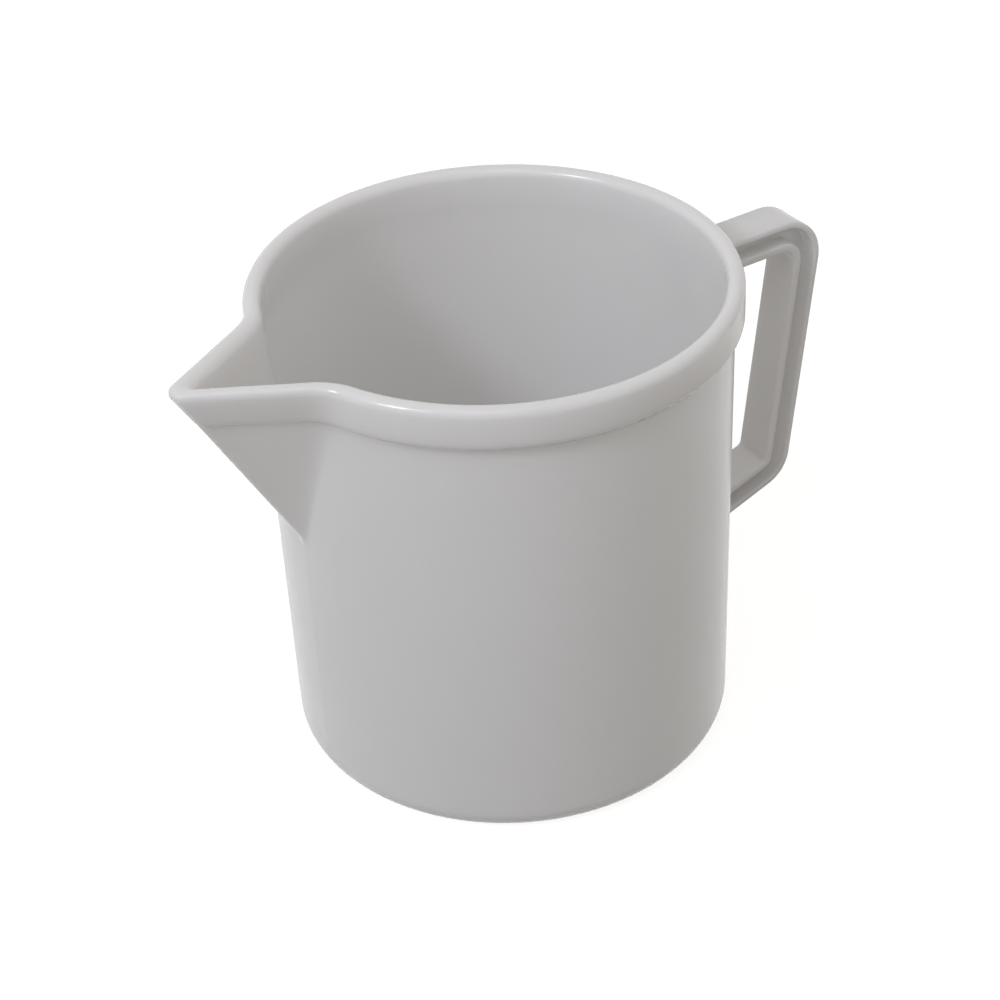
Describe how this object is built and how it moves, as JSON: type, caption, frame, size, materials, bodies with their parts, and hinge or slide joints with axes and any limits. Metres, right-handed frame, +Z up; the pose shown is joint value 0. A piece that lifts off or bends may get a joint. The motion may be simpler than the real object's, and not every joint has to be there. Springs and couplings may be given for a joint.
{
  "type": "plastic carafe",
  "caption": "Open moulded carafe with straight round walls, a collar under its rounded lip, a V-shaped pouring spout and a strap handle with recessed sides.",
  "frame": {"origin": "centre of the standing ring, on the jug's axis at table height", "axes": "+Z up along the jug's axis, +X towards the handle, -X towards the spout"},
  "size_m": [0.1797, 0.118, 0.1246],
  "materials": {
    "plastic": "satin"
  },
  "bodies": {
    "root": {"jug": "plastic"}
  },
  "joints": []
}
